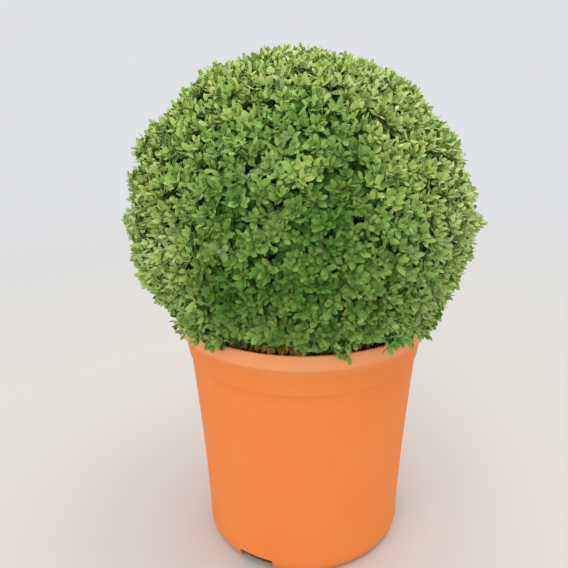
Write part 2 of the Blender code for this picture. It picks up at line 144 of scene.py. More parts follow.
@dataclass(frozen=True)
class SatinPolypropylene(Finish):
    """Injection-moulded orange polypropylene, satin from a lightly etched mould.

    The eye sees one even, warm orange with broad soft highlights, and it is faintly dusty at
    its foot. The band from the compost's height up to the collar carries a painted highlight.
    Each noise has its scale, worked out from the width of its marks, its detail and its
    roughness. The etching's own grain of about 0.1 mm is too fine to show, so it is drawn
    as coarse as it needs to be.
    """

    name: str = "satin_moulded_polypropylene"
    colour: str = "FA8A40"
    cloud_colour: str = "F99048"
    # Painted highlight: the lighter orange of the band under the rim.
    painted_highlight_colour: str = "FEA66E"
    dust_colour: str = "C98A5E"
    cloud: Point = (1.0 / (60.0 * MILLIMETRE), 3.0, 0.5)
    dust: Point = (1.0 / (6.0 * MILLIMETRE), 6.0, 0.7)
    etch: Point = (1.0 / (1.2 * MILLIMETRE), 2.0, 0.5)
    cloud_range: Pair = (0.35, 0.68)
    painted_highlight_heights: Pair = (0.270, 0.286)
    dust_line: float = 0.020
    dust_strength: float = 0.5
    roughness: Pair = (0.66, 0.76)
    etch_depth: float = 0.05 * MILLIMETRE
    etch_strength: float = 0.12
    ior: float = 1.46
    specular_level: float = 0.3

    def shade(self, tree: NodeTree) -> Node:
        """Add the clouded colour, the painted highlight on the lip, the dust and the etched relief.

        Args:
            tree: The material's node tree.

        Returns:
            The shader.
        """
        place = add_node(tree, "TexCoord").outputs["Object"]
        height = add_node(tree, "SeparateXYZ", sources={"Vector": place}).outputs["Z"]
        names = ("Scale", "Detail", "Roughness")
        noises = [dict(zip(names, numbers)) for numbers in (self.cloud, self.dust, self.etch)]
        cloud, speck, etch = [add_node(tree, "TexNoise", numbers, {"Vector": place}) for numbers in noises]
        (low, high), (smooth, rough) = self.painted_highlight_heights, self.roughness
        # Painted highlight: the band from the compost's height to the collar is mixed towards the lighter
        # orange.
        painted_highlight_limits = {"From Min": low, "From Max": high}
        dusty = {"From Min": self.dust_line, "From Max": 0.0, "To Max": self.dust_strength}
        satin = {"To Min": smooth, "To Max": rough}
        painted_lip_light, foot, gloss = [
            add_node(tree, "MapRange", limits, {"Value": value})
            for limits, value in ((painted_highlight_limits, height), (dusty, height), (satin, cloud))
        ]
        dust = add_node(tree, "Math", {"operation": "MULTIPLY"}, {0: speck, 1: foot})
        stops = tuple(zip(self.cloud_range, (self.colour, self.cloud_colour)))
        colour = add_node(tree, "ValToRGB", {"stops": stops}, {"Fac": cloud}).outputs["Color"]
        for factor, tint in ((painted_lip_light, self.painted_highlight_colour), (dust, self.dust_colour)):
            mix = {"data_type": "RGBA", MIX_SECOND: linear(tint)}
            colour = add_node(tree, "Mix", mix, {MIX_FACTOR: factor, MIX_FIRST: colour}).outputs[MIX_RESULT]
        etching = {"Strength": self.etch_strength, "Distance": self.etch_depth}
        relief = add_node(tree, "Bump", etching, {"Height": etch})
        plastic = {"IOR": self.ior, "Specular IOR Level": self.specular_level}
        surface = {"Base Color": colour, "Roughness": gloss, "Normal": relief}
        return add_node(tree, "BsdfPrincipled", plastic, surface)


@dataclass(frozen=True)
class GrainyMatter(Finish):
    """A dull, grainy stuff that grew or was milled: bark, or peat with bits of bark.

    The eye sees two or three close browns in grains of a real size, with no gloss.
    """

    name: str
    stops: tuple[tuple[float, str], ...]
    grain: float
    detail: float = 5.0
    mixing: float = 0.6
    stretch: Point = (1.0, 1.0, 1.0)
    roughness: float = 0.92
    relief: float = 0.4 * MILLIMETRE
    relief_strength: float = 0.6

    def shade(self, tree: NodeTree) -> Node:
        """Add the grain, its browns and its relief.

        Args:
            tree: The material's node tree.

        Returns:
            The shader.
        """
        place = add_node(tree, "TexCoord").outputs["Object"]
        drawn = add_node(tree, "Mapping", {"Scale": self.stretch}, {"Vector": place})
        noises = {"Scale": 1.0 / self.grain, "Detail": self.detail, "Roughness": self.mixing}
        grain = add_node(tree, "TexNoise", noises, {"Vector": drawn})
        colour = add_node(tree, "ValToRGB", {"stops": self.stops}, {"Fac": grain})
        depth = {"Strength": self.relief_strength, "Distance": self.relief}
        relief = add_node(tree, "Bump", depth, {"Height": grain})
        surface = {"Base Color": colour, "Normal": relief}
        return add_node(tree, "BsdfPrincipled", {"Roughness": self.roughness}, surface)


# Peat, milled and moist: a nearly black brown, deep between its crumbs.
MOIST_PEAT = GrainyMatter(
    "moist_milled_peat",
    ((0.30, "2A1A0E"), (0.52, "442C18"), (0.75, "634424")),
    grain=4.0 * MILLIMETRE,
    relief=0.8 * MILLIMETRE,
)

# Composted bark, chipped: redder and a little lighter than the peat that it lies on.
BARK_CHIPS = GrainyMatter(
    "bark_chips",
    ((0.30, "2B1B10"), (0.55, "4A3120"), (0.80, "6B4B30")),
    grain=5.0 * MILLIMETRE,
)

# The thin bark of old holly: a grey brown, with marks drawn out along the trunk.
HOLLY_BARK = GrainyMatter(
    "holly_bark",
    ((0.28, "5B4E41"), (0.50, "84766A"), (0.74, "A39887")),
    grain=3.0 * MILLIMETRE,
    stretch=(1.0, 1.0, 0.35),
    roughness=0.86,
)

# The bark of twigs a few years old: smoother, and still an olive brown.
TWIG_BARK = GrainyMatter(
    "twig_bark",
    ((0.30, "4F4534"), (0.52, "6E6148"), (0.74, "8A7D60")),
    grain=2.0 * MILLIMETRE,
    roughness=0.80,
)


@dataclass(frozen=True)
class WaxyLeaf(Finish):
    """The skin of a living holly leaf, or the green skin of a young shoot: smooth wax over cells.

    The eye sees a plain green with a soft sheen. The tint is plain, because it is dealt out
    spray by spray, and the variety comes from the leaves' many tints and tilts.
    """

    name: str
    colour: str
    roughness: float = 0.50
    ior: float = 1.38

    def shade(self, tree: NodeTree) -> Node:
        """Add the plain, soft shader and give it."""
        wax = {"Base Color": linear(self.colour), "Roughness": self.roughness, "IOR": self.ior}
        return add_node(tree, "BsdfPrincipled", wax)


@dataclass(frozen=True)
class BackdropPaper(Finish):
    """Matt backdrop paper, which fades into the sky with distance.

    The eye sees a pale floor with soft shadows and no horizon.
    """

    name: str = "pale_backdrop_paper"
    colour: str = "D2CFCA"
    roughness: float = 0.8
    fade: Pair = (0.5, 2.2)
    sky_colour: str = "EEF0F4"
    sky_strength: float = 0.88

    def shade(self, tree: NodeTree) -> Node:
        """Add the paper, the sky's glow and the fade between them.

        Args:
            tree: The material's node tree.

        Returns:
            The shader.
        """
        place = add_node(tree, "TexCoord").outputs["Object"]
        far = add_node(tree, "VectorMath", {"operation": "LENGTH"}, {0: place}).outputs["Value"]
        near, end = self.fade
        limits = {"interpolation_type": "SMOOTHSTEP", "From Min": near, "From Max": end}
        fade = add_node(tree, "MapRange", limits, {"Value": far})
        matt = {"Base Color": linear(self.colour), "Roughness": self.roughness}
        sky = {"Color": linear(self.sky_colour), "Strength": self.sky_strength}
        sides = {1: add_node(tree, "BsdfPrincipled", matt), 2: add_node(tree, "Emission", sky)}
        return add_node(tree, "MixShader", sources={0: fade, **sides})


class Tint(Enum):
    """The leaf tints that the ball shows, from the lightest young leaves to the oldest inside."""

    YOUNG = "BACE82"
    FRESH = "A8C266"
    BRIGHT = "8FB658"
    MIDDLE = "7AA046"
    # Painted sheen: a grey-green that stands in for the sky's reflection on waxy leaves.
    PAINTED_SHEEN = "8EAD66"
    DEEP = "5F8F35"
    SHADE = "4E7D2A"
    # Painted light: a lighter green than the old leaves inside have, standing in for light that shines
    # through the leaves into the gaps.
    INNER = "5A9A32"
    WITHERED = "CFA04A"


# The tint of a shoot's tip, and the level of painted light that it reaches up to.
TIP_TINTS = (
    (Tint.SHADE, 0.12),
    (Tint.DEEP, 0.30),
    (Tint.MIDDLE, 0.50),
    (Tint.BRIGHT, 0.70),
    (Tint.FRESH, 0.88),
    (Tint.YOUNG, math.inf),
)

# The tint of the leaves lower down a shoot, where it isn't that of its tip.
LOWER_TINTS = {
    Tint.YOUNG: Tint.FRESH,
    Tint.FRESH: Tint.BRIGHT,
    Tint.BRIGHT: Tint.MIDDLE,
    Tint.PAINTED_SHEEN: Tint.MIDDLE,
    Tint.DEEP: Tint.SHADE,
}

# The tints of the shoots at the rim, dealt out in turn.
RIM_TINTS = (Tint.MIDDLE, Tint.BRIGHT, Tint.DEEP, Tint.MIDDLE, Tint.DEEP)


def select_only(piece: Object) -> None:
    """Select one piece and make it the active one.

    Args:
        piece: The piece.
    """
    bpy.ops.object.select_all(action="DESELECT")
    piece.select_set(True)
    bpy.context.view_layer.objects.active = piece


def apply_place(piece: Object) -> None:
    """Move a piece's place and turn into its mesh."""
    select_only(piece)
    bpy.ops.object.transform_apply(location=True, rotation=True, scale=True)


def smooth_shade(piece: Object, angle: float) -> None:
    """Shade a piece smooth, except over edges sharper than an angle in degrees."""
    select_only(piece)
    bpy.ops.object.shade_smooth_by_angle(angle=math.radians(angle))


def apply_modifiers(piece: Object) -> None:
    """Apply a piece's modifiers in their order.

    Args:
        piece: The piece.
    """
    select_only(piece)
    for modifier in list(piece.modifiers):
        bpy.ops.object.modifier_apply(modifier=modifier.name)


def finish_piece(piece: Object, slot: str, material: Material, *nodes: str) -> Object:
    """Give a piece its finish and tie it to the pot's body.

    Args:
        piece: The finished piece.
        slot: The name of a material slot. It is not used.
        material: The piece's material.
        nodes: CAD nodes that the piece stands for.

    Returns:
        The piece.
    """
    piece.data.materials.clear()
    piece.data.materials.append(material)
    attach(piece, "root")
    if nodes:
        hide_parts(*nodes)
    LOG.info("%s: %d faces", piece.name, len(piece.data.polygons))
    return piece


def extrude_rings(name: str, centres: list[Point | Vector], radii: list[float], sides: int) -> Object:
    """Build a closed shape ring by ring: a level disc, extruded and resized along a path.

    Args:
        name: The piece's name.
        centres: The middle of each ring, in the order of the extrusions.
        radii: The radius of each ring.
        sides: The number of sides of each ring.

    Returns:
        The piece.
    """
    bpy.ops.object.select_all(action="DESELECT")
    bpy.ops.mesh.primitive_circle_add(vertices=sides, radius=radii[0], fill_type="NGON", location=centres[0])
    piece = bpy.context.object
    piece.name = piece.data.name = name
    bpy.ops.object.mode_set(mode="EDIT")
    for i in range(1, len(centres)):
        step = [new - old for old, new in zip(centres[i - 1], centres[i])]
        bpy.ops.mesh.extrude_region_move(TRANSFORM_OT_translate={"value": step})
        share = radii[i] / radii[i - 1]
        bpy.ops.transform.resize(value=(share, share, 1.0), center_override=centres[i])
    bpy.ops.mesh.select_all(action="SELECT")
    bpy.ops.mesh.normals_make_consistent(inside=False)
    bpy.ops.object.mode_set(mode="OBJECT")
    apply_place(piece)
    return piece


def turn_outline(name: str, outline: Profile, sides: int) -> Object:
    """Build a closed round shape about the pot's axis from the radius and height of its rings."""
    centres = [(0.0, 0.0, height) for _, height in outline]
    return extrude_rings(name, centres, [radius for radius, _ in outline], sides)


def arc_rings(centre: Pair, radius: float, first: float, last: float, steps: int) -> Profile:
    """Radius and height of the points of an arc, whose angles are in degrees from straight out."""
    angles = [math.radians(first + (last - first) * i / steps) for i in range(steps + 1)]
    return [(centre[0] + radius * math.cos(a), centre[1] + radius * math.sin(a)) for a in angles]


def add_clouds(piece: Object, name: str, size: float, depth: int, strength: float) -> DisplaceModifier:
    """Add a displacement that roughens a piece by clouds.

    Args:
        piece: The piece.
        name: The name of the clouds.
        size: Their size.
        depth: How many finer sizes they hold.
        strength: The height from the lowest to the highest.

    Returns:
        The modifier.
    """
    clouds = bpy.data.textures.new(name, "CLOUDS")
    clouds.noise_scale = size
    clouds.noise_depth = depth
    rough = piece.modifiers.new(name, "DISPLACE")
    rough.texture = clouds
    rough.texture_coords = "LOCAL"
    rough.strength = strength
    return rough


def joined_mesh(name: str, points: ndarray, faces: ndarray, smooth: bool = True) -> Object:
    """Join many copies of one small shape to one mesh.

    Args:
        name: The piece's name.
        points: Each copy's points, as copies by points by 3.
        faces: The triangles of one copy.
        smooth: Whether its faces are shaded smooth.

    Returns:
        The piece.
    """
    copies, corners, _ = points.shape
    triangles = (faces[None] + np.arange(copies)[:, None, None] * corners).reshape(-1, 3)
    mesh = bpy.data.meshes.new(name)
    mesh.vertices.add(copies * corners)
    mesh.vertices.foreach_set("co", points.astype(np.float32).ravel())
    mesh.loops.add(triangles.size)
    mesh.loops.foreach_set("vertex_index", triangles.astype(np.int32).ravel())
    mesh.polygons.add(len(triangles))
    mesh.polygons.foreach_set("loop_start", np.arange(0, triangles.size, 3, dtype=np.int32))
    mesh.polygons.foreach_set("use_smooth", np.full(len(triangles), smooth))
    mesh.update(calc_edges=True)
    mesh.validate()
    made = bpy.data.objects.new(name, mesh)
    bpy.context.scene.collection.objects.link(made)
    return made


def unit(vectors: ndarray) -> ndarray:
    """Scale vectors, one a row, to length 1."""
    return vectors / np.maximum(np.linalg.norm(vectors, axis=-1, keepdims=True), LEAST_LENGTH)


def outward(azimuth: float) -> Vector:
    """The level direction at an angle in radians from +X."""
    return Vector((math.cos(azimuth), math.sin(azimuth), 0.0))


def random_turns(dice: Generator, count: int) -> ndarray:
    """Turning matrices, 3 by 3, spread evenly by the seeded source of chance."""
    return np.array([Quaternion(row).normalized().to_matrix() for row in dice.normal(size=(count, 4))])


@dataclass
class NurseryPot:
    """The pot: collar, shoulder, tapering body, rounded foot and three drainage slots."""

    height: float = 0.300
    wall: float = 0.0028
    rim_radius: float = 0.150
    rim_draft: float = 0.0001
    rim_draft_drop: float = 0.004
    collar_height: float = 0.018
    collar_foot_radius: float = 0.1492
    collar_bulge: float = 0.0003
    collar_bulge_rise: float = 0.005
    shoulder_height: float = 0.034
    shoulder_top_radius: float = 0.1425
    shoulder_foot_radius: float = 0.1376
    body_top_radius: float = 0.1354
    body_foot_radius: float = 0.1225
    body_curve: float = 1.5
    body_stations: int = 16
    step_drop: float = 0.0025
    base_rounding: float = 0.014
    edge_rounding: float = 0.0007
    arc_steps: int = 8
    step_arc: float = 60.0
    step_arc_steps: int = 3
    sides: int = 144
    slot_azimuths: tuple[float, ...] = (-28.0, 92.0, 212.0)
    slot_size: Point = (0.045, 0.030, 0.016)
    slot_corner: float = 0.003
    slot_corner_steps: int = 4
    slot_ring: float = 0.004
    recess_radius: float = 0.090
    recess_slope: float = 0.002
    recess_depth: float = 0.0008
    sharp_edge: float = 40.0

    def side(self, inset: float) -> Profile:
        """The side from the foot to the shoulder's top.

        Args:
            inset: How far it is set in from the outside.

        Returns:
            Radius and height of each ring, from the bottom up.
        """
        foot, fillet = self.base_rounding, self.edge_rounding
        rings = arc_rings((self.body_foot_radius - foot, foot), foot - inset, -90.0, 0.0, self.arc_steps)
        step = self.height - self.collar_height - self.shoulder_height
        rise = step - self.step_drop - foot
        spread = self.body_top_radius - self.body_foot_radius
        shares = [self.slot_ring / rise] + [(i + 1) / self.body_stations for i in range(self.body_stations)]
        for share in shares:
            radius = self.body_foot_radius + spread * share**self.body_curve - inset
            rings.append((radius, foot + rise * share))
        middle = (self.shoulder_foot_radius - fillet - inset, step + fillet)
        rings += arc_rings(middle, fillet, -self.step_arc, 0.0, self.step_arc_steps)
        rings.append((self.shoulder_top_radius - inset, self.height - self.collar_height - fillet))
        return rings

    def outline(self) -> Profile:
        """The whole outline, from the middle of the underside over the rim to the floor inside.

        Returns:
            Radius and height of each ring.
        """
        collar_foot = self.height - self.collar_height
        fillet, half_wall = self.edge_rounding, self.wall / 2.0
        rim = (self.rim_radius - half_wall, self.height - half_wall)
        return [
            (self.recess_radius - self.recess_slope, self.recess_depth),
            (self.recess_radius, 0.0),
            *self.side(0.0),
            (self.shoulder_top_radius + fillet, collar_foot),
            (self.collar_foot_radius - fillet, collar_foot),
            (self.collar_foot_radius, collar_foot + fillet),
            (self.collar_foot_radius + self.collar_bulge, collar_foot + self.collar_bulge_rise),
            (self.rim_radius - self.rim_draft, self.height - half_wall - self.rim_draft_drop),
            *arc_rings(rim, half_wall, 0.0, 180.0, self.arc_steps),
            (self.collar_foot_radius - self.wall, collar_foot + self.wall),
            (self.shoulder_top_radius - self.wall, collar_foot + half_wall / 2.0),
            *self.side(self.wall)[::-1],
        ]

    def cut_slot(self, pot: Object, azimuth: float) -> None:
        """Cut a drainage slot through the bottom edge.

        Args:
            pot: The pot.
            azimuth: Degrees from the front.
        """
        bpy.ops.object.select_all(action="DESELECT")
        turn = math.radians(azimuth)
        place = (self.body_foot_radius * math.sin(turn), -self.body_foot_radius * math.cos(turn), 0.0)
        bpy.ops.mesh.primitive_cube_add(size=1.0, location=place, rotation=(0.0, 0.0, turn))
        cutter = bpy.context.object
        width, depth, height = self.slot_size
        cutter.scale = (width, depth, 2.0 * height)
        bpy.ops.object.transform_apply(location=False, rotation=False, scale=True)
        corners = cutter.modifiers.new("Corners", "BEVEL")
        corners.width = self.slot_corner
        corners.segments = self.slot_corner_steps
        apply_modifiers(cutter)
        cut = pot.modifiers.new("Drainage slot", "BOOLEAN")
        cut.operation = "DIFFERENCE"
        cut.solver = "EXACT"
        cut.object = cutter
        apply_modifiers(pot)
        bpy.data.objects.remove(cutter)

    def build(self) -> Object:
        """Build the pot's mesh.

        Returns:
            The piece.
        """
        pot = turn_outline("nursery_pot", self.outline(), self.sides)
        for azimuth in self.slot_azimuths:
            self.cut_slot(pot, azimuth)
        smooth_shade(pot, self.sharp_edge)
        return pot

    def dress(self, pot: Object) -> None:
        """Give the pot its finish, and put it in the place of the CAD pot."""
        finish_piece(pot, "pot_plastic", SatinPolypropylene().make(), "pot")


@dataclass
class Compost:
    """The root ball: compost in the shape of the pot's inside, with a crumbly top."""

    pot: NurseryPot
    top: float = 0.270
    sink: float = 0.004
    gap: float = 0.0004
    brim_width: float = 0.0003
    brim_drop: float = 0.0015
    rough_margin: float = 0.0005
    top_rings: int = 26
    sides: int = 120
    relief: float = 0.0022
    relief_size: float = 0.011
    relief_depth: int = 4
    sharp_edge: float = 60.0
    crumb_count: int = 900
    crumb_sizes: Pair = (0.0010, 0.0042)
    crumb_shapes: Pair = (0.35, 1.0)
    crumb_reach: float = 0.97
    seed: int = 11

    def edge_radius(self) -> float:
        """Radius of the compost's top edge.

        Returns:
            The radius in metres.
        """
        pot = self.pot
        foot = pot.height - pot.collar_height - pot.shoulder_height
        share = (self.top - self.sink - foot) / pot.shoulder_height
        spread = pot.shoulder_top_radius - pot.shoulder_foot_radius
        return pot.shoulder_foot_radius + spread * share - pot.wall - 2.0 * self.gap

    def surface_height(self, radius: float) -> float:
        """Height of the even surface at a distance from the pot's axis."""
        return self.top - self.sink * (radius / self.edge_radius()) ** 2

    def build(self) -> Object:
        """Build the compost's mesh, with its top roughened by a displacement.

        Returns:
            The piece.
        """
        inset = self.pot.wall + self.gap
        outline = [(r, z) for r, z in self.pot.side(inset) if z < self.top - 2.0 * self.sink]
        outline[0] = (outline[0][0], inset)
        edge = self.edge_radius()
        outline.append((edge - self.brim_width, self.top - self.sink - self.brim_drop))
        radii = [edge * (1.0 - i / self.top_rings) for i in range(self.top_rings)]
        outline += [(radius, self.surface_height(radius)) for radius in radii]
        compost = turn_outline("compost", outline, self.sides)
        top = compost.vertex_groups.new(name="top")
        floor = self.top - self.sink - self.rough_margin
        top.add([v.index for v in compost.data.vertices if v.co.z > floor], 1.0, "REPLACE")
        clods = add_clouds(compost, "clods", self.relief_size, self.relief_depth, self.relief)
        clods.direction = "Z"
        clods.mid_level = 1.0
        clods.vertex_group = top.name
        apply_modifiers(compost)
        smooth_shade(compost, self.sharp_edge)
        return compost

    def build_crumbs(self) -> Object:
        """Scatter bits of bark and peat on the compost, as one joined mesh.

        Returns:
            The piece.
        """
        dice, count = default_rng(self.seed), self.crumb_count
        corners = np.array([(1, 0, 0), (0, 1, 0), (-1, 0, 0), (0, -1, 0), (0, 0, 1), (0, 0, -1)], float)
        faces = np.array([(i, (i + 1) % 4, 4) for i in range(4)] + [((i + 1) % 4, i, 5) for i in range(4)])
        radius = self.edge_radius() * self.crumb_reach * np.sqrt(dice.uniform(0.0, 1.0, count))
        azimuth = dice.uniform(0.0, 2.0 * math.pi, count)
        size = dice.uniform(*self.crumb_sizes, count)
        height = np.array([self.surface_height(r) for r in radius])
        middle = np.stack([radius * np.cos(azimuth), radius * np.sin(azimuth), height], 1)
        shape = size[:, None] * dice.uniform(*self.crumb_shapes, (count, 3))
        points = np.einsum("nij,nvj->nvi", random_turns(dice, count), corners[None] * shape[:, None])
        return joined_mesh("compost_crumbs", points + middle[:, None], faces, smooth=False)

    def dress(self, compost: Object, crumbs: Object) -> None:
        """Give the compost, in the place of the CAD root ball, and its crumbs their finishes."""
        finish_piece(compost, "compost", MOIST_PEAT.make(), "root_ball")
        finish_piece(crumbs, "compost", BARK_CHIPS.make())


@dataclass
class CrownSpace:
    """The space that the foliage keeps to, by the rule of the part's source."""

    centre: Point = (-0.002, 0.0, 0.395)
    radius: float = 0.193
    proud_reach: float = 0.206
    rim_clear_height: float = 0.303
    rim_clear_radius: float = 0.1535
    mouth_radius: float = 0.138
    mouth_floor: float = 0.286
    hollow_height: float = 0.308
    hollow_radius: float = 0.082
    hollow_rise: float = 0.075
    leaf_clearance: float = 0.002
    least_fall: float = 1e-6
    least_flat: float = 1e-4

    def crown_reach(self, directions: ndarray) -> ndarray:
        """How far the foliage may reach from the ball's centre.

        Args:
            directions: Unit directions, one a row.

        Returns:
            The reach along each.
        """
        flat = np.hypot(directions[:, 0], directions[:, 1])
        down = np.maximum(-directions[:, 2], self.least_fall)
        onto_rim = (self.centre[2] - self.rim_clear_height) / down
        onto_floor = (self.centre[2] - self.mouth_floor) / down
        mouth = np.minimum(onto_floor, self.mouth_radius / np.maximum(flat, self.least_flat))
        found = np.where(onto_rim * flat < self.mouth_radius, mouth, onto_rim)
        beside = (directions[:, 2] >= 0.0) | (onto_rim * flat > self.rim_clear_radius)
        return np.minimum(np.where(beside, self.radius, found), self.radius)

    def in_hollow(self, points: ndarray, margin: float) -> ndarray:
        """Whether points lie in or below the hollow under the ball.

        Args:
            points: Points, one a row.
            margin: How much the hollow is widened.

        Returns:
            True or False for each.
        """
        rise = np.maximum(0.0, points[..., 2] - self.hollow_height) / (self.hollow_rise + margin)
        flat = np.hypot(points[..., 0], points[..., 1]) / (self.hollow_radius + margin)
        return rise * rise + flat * flat < 1.0

    def holds(self, points: ndarray) -> ndarray:
        """Whether points are in the foliage's space.

        Args:
            points: Points, one a row.

        Returns:
            True or False for each.
        """
        offset = points - np.array(self.centre)
        length = np.linalg.norm(offset, axis=1)
        allowed = self.crown_reach(offset / length[:, None])
        allowed = np.where(allowed >= self.radius, self.proud_reach, allowed)
        return (length <= allowed) & ~self.in_hollow(points, self.leaf_clearance)


@dataclass
class Limb:
    """One tapering limb as rings: where its axis runs, and how thick it is along it."""

    name: str
    points: list[Vector]
    radii: list[float]
    sides: int = 28
    relief: float = 0.0008
    ridge_size: float = 0.0035
    ridge_depth: int = 3
    sharp_edge: float = 70.0

    def build(self) -> Object:
        """Build the limb upright, ring by ring, lay it along its axis and roughen its bark.

        Returns:
            The piece.
        """
        along = (self.points[-1] - self.points[0]).normalized()
        lay = Vector((0.0, 0.0, 1.0)).rotation_difference(along)
        upright = [lay.inverted() @ (point - self.points[0]) for point in self.points]
        limb = extrude_rings(self.name, upright, self.radii, self.sides)
        limb.rotation_mode = "QUATERNION"
        limb.rotation_quaternion = lay
        limb.location = self.points[0]
        apply_place(limb)
        add_clouds(limb, self.name + "_ridges", self.ridge_size, self.ridge_depth, self.relief)
        apply_modifiers(limb)
        smooth_shade(limb, self.sharp_edge)
        return limb


@dataclass
class LimbSet:
    """The short trunk inside the crown and its five boughs, by the rule of the part's source."""

    space: CrownSpace
    foot_height: float = 0.270
    tip_height: float = 0.372
    lean: Pair = (0.005, -0.003)
    foot_radius: float = 0.0145
    tip_radius: float = 0.0080
    stations: int = 44
    flare_rise: float = 0.011
    flare_spread: float = 0.45
    flare_lobes: int = 5
    lobe_push: float = 0.0035
    lobe_power: int = 8
    bough_count: int = 5
    first_azimuth: float = 20.0
    azimuth_sway: float = 7.0
    sway_rate: float = 3.0
    first_height: float = 0.301
    rise_between: float = 0.008
    elevation: float = 24.0
    curve_up: float = 0.018
    bough_length: float = 0.120
    bough_radii: Pair = (0.0068, 0.0044)
    bough_stations: int = 40
    bough_sides: int = 18
    clearance: float = 0.0003

    def axis(self, height: float) -> Vector:
        """The middle of the trunk at a height.

        Args:
            height: The height.

        Returns:
            The point.
        """
        share = (height - self.foot_height) / (self.tip_height - self.foot_height)
        ease = 3.0 * share**2 - 2.0 * share**3
        return Vector((self.lean[0] * ease, self.lean[1] * ease, height))

    def trunk_radius(self, height: float) -> float:
        """The trunk's radius at a height, with its root flare.

        Args:
            height: The height.

        Returns:
            The radius.
        """
        rise = height - self.foot_height
        share = rise / (self.tip_height - self.foot_height)
        taper = self.foot_radius + (self.tip_radius - self.foot_radius) * share
        return taper * (1.0 + self.flare_spread * math.exp(-rise / self.flare_rise))

    def build_trunk(self) -> Object:
        """Build the trunk, and push the lobes of its root flare outwards.

        Returns:
            The piece.
        """
        foot, rise = self.foot_height, self.tip_height - self.foot_height
        heights = [foot + self.clearance + rise * i / self.stations for i in range(self.stations)]
        heights.append(self.tip_height)
        points, radii = [self.axis(h) for h in heights], [self.trunk_radius(h) for h in heights]
        trunk = Limb("trunk_bark", points, radii).build()
        for lobe in range(self.flare_lobes):
            out = outward(2.0 * math.pi * lobe / self.flare_lobes)
            for vertex in trunk.data.vertices:
                facing = max(0.0, Vector((*vertex.co.xy, 0.0)).normalized().dot(out))
                fade = math.exp(-(vertex.co.z - foot) / self.flare_rise)
                vertex.co += out * (self.lobe_push * facing**self.lobe_power * fade)
        return trunk

    def bough_path(self, number: int) -> list[Vector]:
        """The middle line of a bough, from inside the trunk to the wall of the hollow.

        Args:
            number: Which bough, from 0.

        Returns:
            Points along it.
        """
        ring_place = 2 * number % self.bough_count
        sway = self.azimuth_sway * math.sin(self.sway_rate * number)
        out = outward(math.radians(self.first_azimuth + 360.0 * ring_place / self.bough_count + sway))
        start = self.axis(self.first_height + self.rise_between * number)
        climb = self.bough_length * math.tan(math.radians(self.elevation))
        points = []
        for i in range(self.bough_stations + 1):
            share = i / self.bough_stations
            lift = climb * share + self.curve_up * share**2
            point = start + out * (self.bough_length * share) + Vector((0.0, 0.0, lift))
            if not self.space.in_hollow(np.array(point), 0.0):
                break
            points.append(point)
        return points

    def build_bough(self, number: int) -> Object:
        """Build a bough.

        Args:
            number: Which bough, from 0.

        Returns:
            The piece.
        """
        points = self.bough_path(number)
        root, tip = self.bough_radii
        radii = [root + (tip - root) * i / self.bough_stations for i in range(len(points))]
        return Limb(f"bough_{number + 1}_bark", points, radii, self.bough_sides).build()

    def ends(self) -> list[tuple[Vector, Vector]]:
        """Where the growth in the ball starts.

        Returns:
            Place and direction of the trunk's tip and of each bough's tip.
        """
        paths = [self.bough_path(number) for number in range(self.bough_count)]
        tips = [(path[-1], (path[-1] - path[-2]).normalized()) for path in paths]
        return [(self.axis(self.tip_height), Vector((0.0, 0.0, 1.0))), *tips]

    def dress(self) -> None:
        """Build the limbs and give them their bark."""
        bark = HOLLY_BARK.make()
        finish_piece(self.build_trunk(), "bark", bark, "trunk")
        for number in range(self.bough_count):
            finish_piece(self.build_bough(number), "bark", bark, f"bough_{number + 1}")


@dataclass(frozen=True)
class TwigOrder:
    """One order of branching: how many ends it has, how far out they lie, and its size."""

    count: int
    shares: Pair
    radii: Pair
    sides: int
    rings: int


@dataclass
class Growth:
    """Twigs of one order, as arrays with one row each."""

    roots: ndarray
    bends: ndarray
    tips: ndarray

    def pick(self, kept: ndarray) -> "Growth":
        """The twigs for which kept is True."""
        return Growth(self.roots[kept], self.bends[kept], self.tips[kept])

    def point(self, share: ndarray) -> ndarray:
        """One point a row, each at its share of the way from the root, at 0, to the tip, at 1."""
        t = share[:, None]
        return (1 - t) ** 2 * self.roots + 2 * t * (1 - t) * self.bends + t * t * self.tips

    def heading(self, share: ndarray) -> ndarray:
        """The unit directions along the twigs at those shares of the way."""
        t = share[:, None]
        return unit((1 - t) * (self.bends - self.roots) + t * (self.tips - self.bends))

    def tubes(self, order: TwigOrder) -> tuple[ndarray, ndarray]:
        """Tapering closed tubes along the twigs.

        Args:
            order: The radii at the root and the tip, the sides and the rings of each tube.

        Returns:
            Points of each tube, and the triangles of one.
        """
        count, sides, rings = len(self.roots), order.sides, order.rings
        steep = np.abs(unit(self.tips - self.roots)[:, 2:]) >= STEEP
        guide = np.where(steep, np.array([[1.0, 0.0, 0.0]]), np.array([[0.0, 0.0, 1.0]]))
        points = [self.roots]
        turn = 2.0 * math.pi * np.arange(sides) / sides
        root, tip = order.radii
        for i in range(rings):
            share = np.full(count, i / (rings - 1))
            heading = self.heading(share)
            across = unit(np.cross(guide, heading))
            up = np.cross(heading, across)
            radius = root + (tip - root) * i / (rings - 1)
            centre = self.point(share)
            points += [centre + radius * (math.cos(a) * across + math.sin(a) * up) for a in turn]
        points.append(self.tips + self.heading(np.ones(count)) * tip)
        faces = []
        for side in range(sides):
            after = (side + 1) % sides
            faces.append((0, 1 + after, 1 + side))
            for low in range(1, 1 + (rings - 1) * sides, sides):
                high = low + sides
                faces += [(low + side, low + after, high + after), (low + side, high + after, high + side)]
            faces.append((high + side, high + after, high + sides))
        return np.stack(points, 1), np.array(faces)


